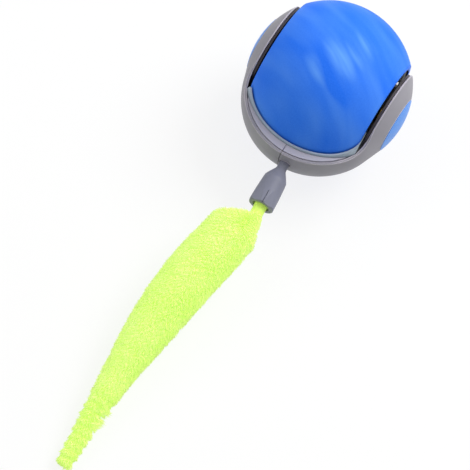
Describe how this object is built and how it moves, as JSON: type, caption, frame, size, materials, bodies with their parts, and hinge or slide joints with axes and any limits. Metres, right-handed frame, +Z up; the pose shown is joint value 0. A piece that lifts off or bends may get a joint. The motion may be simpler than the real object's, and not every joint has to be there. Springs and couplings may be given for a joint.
{
  "type": "self-rolling cat ball",
  "caption": "Self-rolling cat toy: a rubber-sleeved ball turns on an axle between the arms of a U-shaped yoke, and a plush tail trails from a swivel socket.",
  "frame": {"origin": "point where the ball touches the floor, under the ball's centre", "axes": "+X along the ball's axle, -Y towards the tail, +Z up"},
  "size_m": [0.0804, 0.2598, 0.08],
  "materials": {
    "yoke_grey": "satin",
    "cap_blue": "satin",
    "sleeve_blue": "matte",
    "core_dark": "matte",
    "steel": "satin",
    "brass": "satin",
    "gear_white": "satin",
    "magnet": "matte",
    "rotor_metal": "satin",
    "cell_metal": "satin",
    "plug_lime": "matte",
    "tail_cord": "matte",
    "plush_lime": "matte"
  },
  "bodies": {
    "yoke": {"yoke_arm_left": "yoke_grey", "yoke_arm_right": "yoke_grey", "arm_cover_left": "core_dark", "arm_cover_right": "core_dark", "arm_screws": "steel", "band_cover_left": "yoke_grey", "band_cover_right": "yoke_grey", "band_liner": "yoke_grey", "hub_cap_left": "cap_blue", "hub_cap_right": "cap_blue", "axle": "steel", "axle_screws": "steel", "thrust_washers": "gear_white", "final_gear": "gear_white"},
    "ball": {"ball_sleeve": "sleeve_blue", "core_left": "core_dark", "core_right": "core_dark", "core_screws": "steel", "axle_bushes": "brass", "motor_plate": "core_dark", "gear_plate": "core_dark", "gearbox_spacers": "steel", "gearbox_screws": "steel", "gear_pins": "steel", "motor_can": "steel", "motor_end_cap": "gear_white", "motor_magnets": "magnet", "motor_screws": "steel", "battery_tray": "core_dark", "batteries": "cell_metal", "battery_contacts": "brass", "battery_door": "core_dark", "door_screw": "steel", "switch_body": "gear_white"},
    "switch": {"switch_lever": "gear_white"},
    "rotor": {"motor_rotor": "rotor_metal", "motor_pinion": "brass"},
    "gear_one": {"gear_one": "gear_white"},
    "gear_two": {"gear_two": "gear_white"},
    "tail_holder": {"tail_socket": "yoke_grey"},
    "tail": {"tail_plug": "plug_lime", "tail_core": "tail_cord", "tail_plush": "plush_lime"}
  },
  "joints": [
    {"name": "ball_spin", "type": "hinge", "parent": "yoke", "child": "ball", "pos_m": [0, 0, 0.04], "axis": [1, 0, 0], "continuous": true},
    {"name": "switch_slide", "type": "slide", "parent": "ball", "child": "switch", "axis": [0, -0.9781, 0.2079], "range_m": [0, 0.003]},
    {"name": "gear_two_spin", "type": "hinge", "parent": "ball", "child": "gear_two", "pos_m": [0, -0.00241, 0.05364], "axis": [1, 0, 0], "continuous": true},
    {"name": "gear_one_spin", "type": "hinge", "parent": "ball", "child": "gear_one", "pos_m": [0, 0.01061, 0.0489], "axis": [1, 0, 0], "continuous": true},
    {"name": "motor_spin", "type": "hinge", "parent": "ball", "child": "rotor", "pos_m": [0, 0.01301, 0.03526], "axis": [1, 0, 0], "continuous": true},
    {"name": "tail_swivel", "type": "hinge", "parent": "yoke", "child": "tail_holder", "pos_m": [0, 0, 0.04], "axis": [-0.0819, 0.9829, 0.1648], "continuous": true},
    {"name": "tail_pull", "type": "slide", "parent": "tail_holder", "child": "tail", "axis": [0.0819, -0.9829, -0.1648], "range_m": [0, 0.0125]}
  ],
  "couplings": [
    {"joint": "gear_two_spin", "follows": "ball_spin", "ratio": 3.6},
    {"joint": "gear_one_spin", "follows": "ball_spin", "ratio": -12.96},
    {"joint": "motor_spin", "follows": "ball_spin", "ratio": 46.656}
  ]
}
